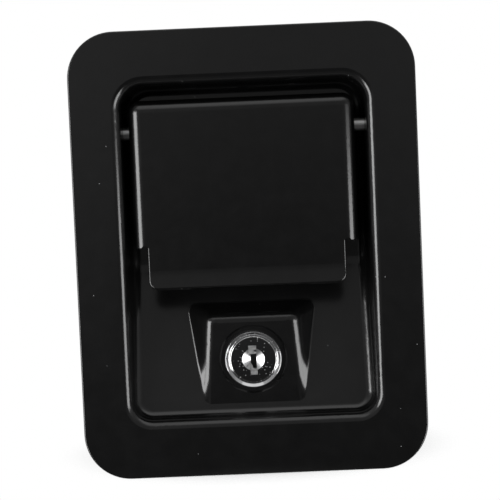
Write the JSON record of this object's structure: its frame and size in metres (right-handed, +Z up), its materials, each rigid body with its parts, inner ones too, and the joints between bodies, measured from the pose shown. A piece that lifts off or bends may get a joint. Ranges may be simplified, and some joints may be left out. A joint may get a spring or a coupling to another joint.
{
  "type": "enclosure door lock",
  "caption": "Flush paddle latch for an enclosure door: a pressed pan with a finger recess, a spring-back paddle, a sliding bolt behind it and a key cylinder with a cam.",
  "frame": {"origin": "centre of the flange's back plane, which is also the centre of the four weld studs at their roots", "axes": "+X to the right seen from the front, +Y into the door along the studs, +Z up towards the bolt's nose"},
  "size_m": [0.108, 0.038, 0.14],
  "materials": {
    "black_coat": "black powder coat, semi-gloss",
    "black_coat_paddle": "black powder coat, semi-gloss",
    "foam_rubber": "closed-cell foam rubber",
    "zinc_steel": "zinc-plated steel",
    "bright_steel": "bright steel",
    "spring_steel": "spring wire",
    "zinc_casting": "zinc die casting",
    "chrome": "bright chrome",
    "chrome_plug": "bright chrome",
    "brass": "stamped brass"
  },
  "bodies": {
    "frame": {"pan": "black_coat", "flange_gasket": "foam_rubber", "mounting_studs": "zinc_steel", "latch_housing": "zinc_steel", "housing_rivets": "zinc_steel", "spring_bracket": "zinc_steel", "bracket_rivets": "zinc_steel", "spring_guide": "zinc_steel", "bolt_spring": "spring_steel", "torsion_spring": "spring_steel", "pivot_pin": "bright_steel", "pin_clip": "spring_steel", "lock_body": "chrome", "lock_washer": "zinc_steel", "lock_nut": "zinc_steel"},
    "paddle": {"paddle": "black_coat_paddle", "drive_lever": "zinc_steel"},
    "bolt": {"latch_bolt": "zinc_casting", "bolt_tail": "zinc_steel", "tail_rivets": "bright_steel"},
    "lock": {"lock_plug": "chrome_plug", "wafers": "brass", "dust_shutter": "bright_steel", "cam": "zinc_steel", "cam_washer": "zinc_steel", "cam_screw": "zinc_steel"}
  },
  "joints": [
    {"name": "paddle_pivot", "type": "hinge", "parent": "frame", "child": "paddle", "pos_m": [0, 0.0105, 0.0382], "axis": [-1, 0, 0], "range_deg": [0, 45], "stiffness_Nm_per_rad": 0.15, "springref_deg": -34.38, "deforming": ["torsion_spring"]},
    {"name": "bolt_slide", "type": "slide", "parent": "frame", "child": "bolt", "axis": [0, 0, -1], "range_m": [0, 0.01158], "stiffness_N_per_m": 300, "springref_m": -0.012, "deforming": ["bolt_spring"]},
    {"name": "lock_turn", "type": "hinge", "parent": "frame", "child": "lock", "pos_m": [0, 0, -0.0345], "axis": [0, -1, 0], "range_deg": [0, 90]}
  ],
  "couplings": [
    {"joint": "bolt_slide", "follows": "paddle_pivot", "m_per_rad": 0.014617}
  ]
}
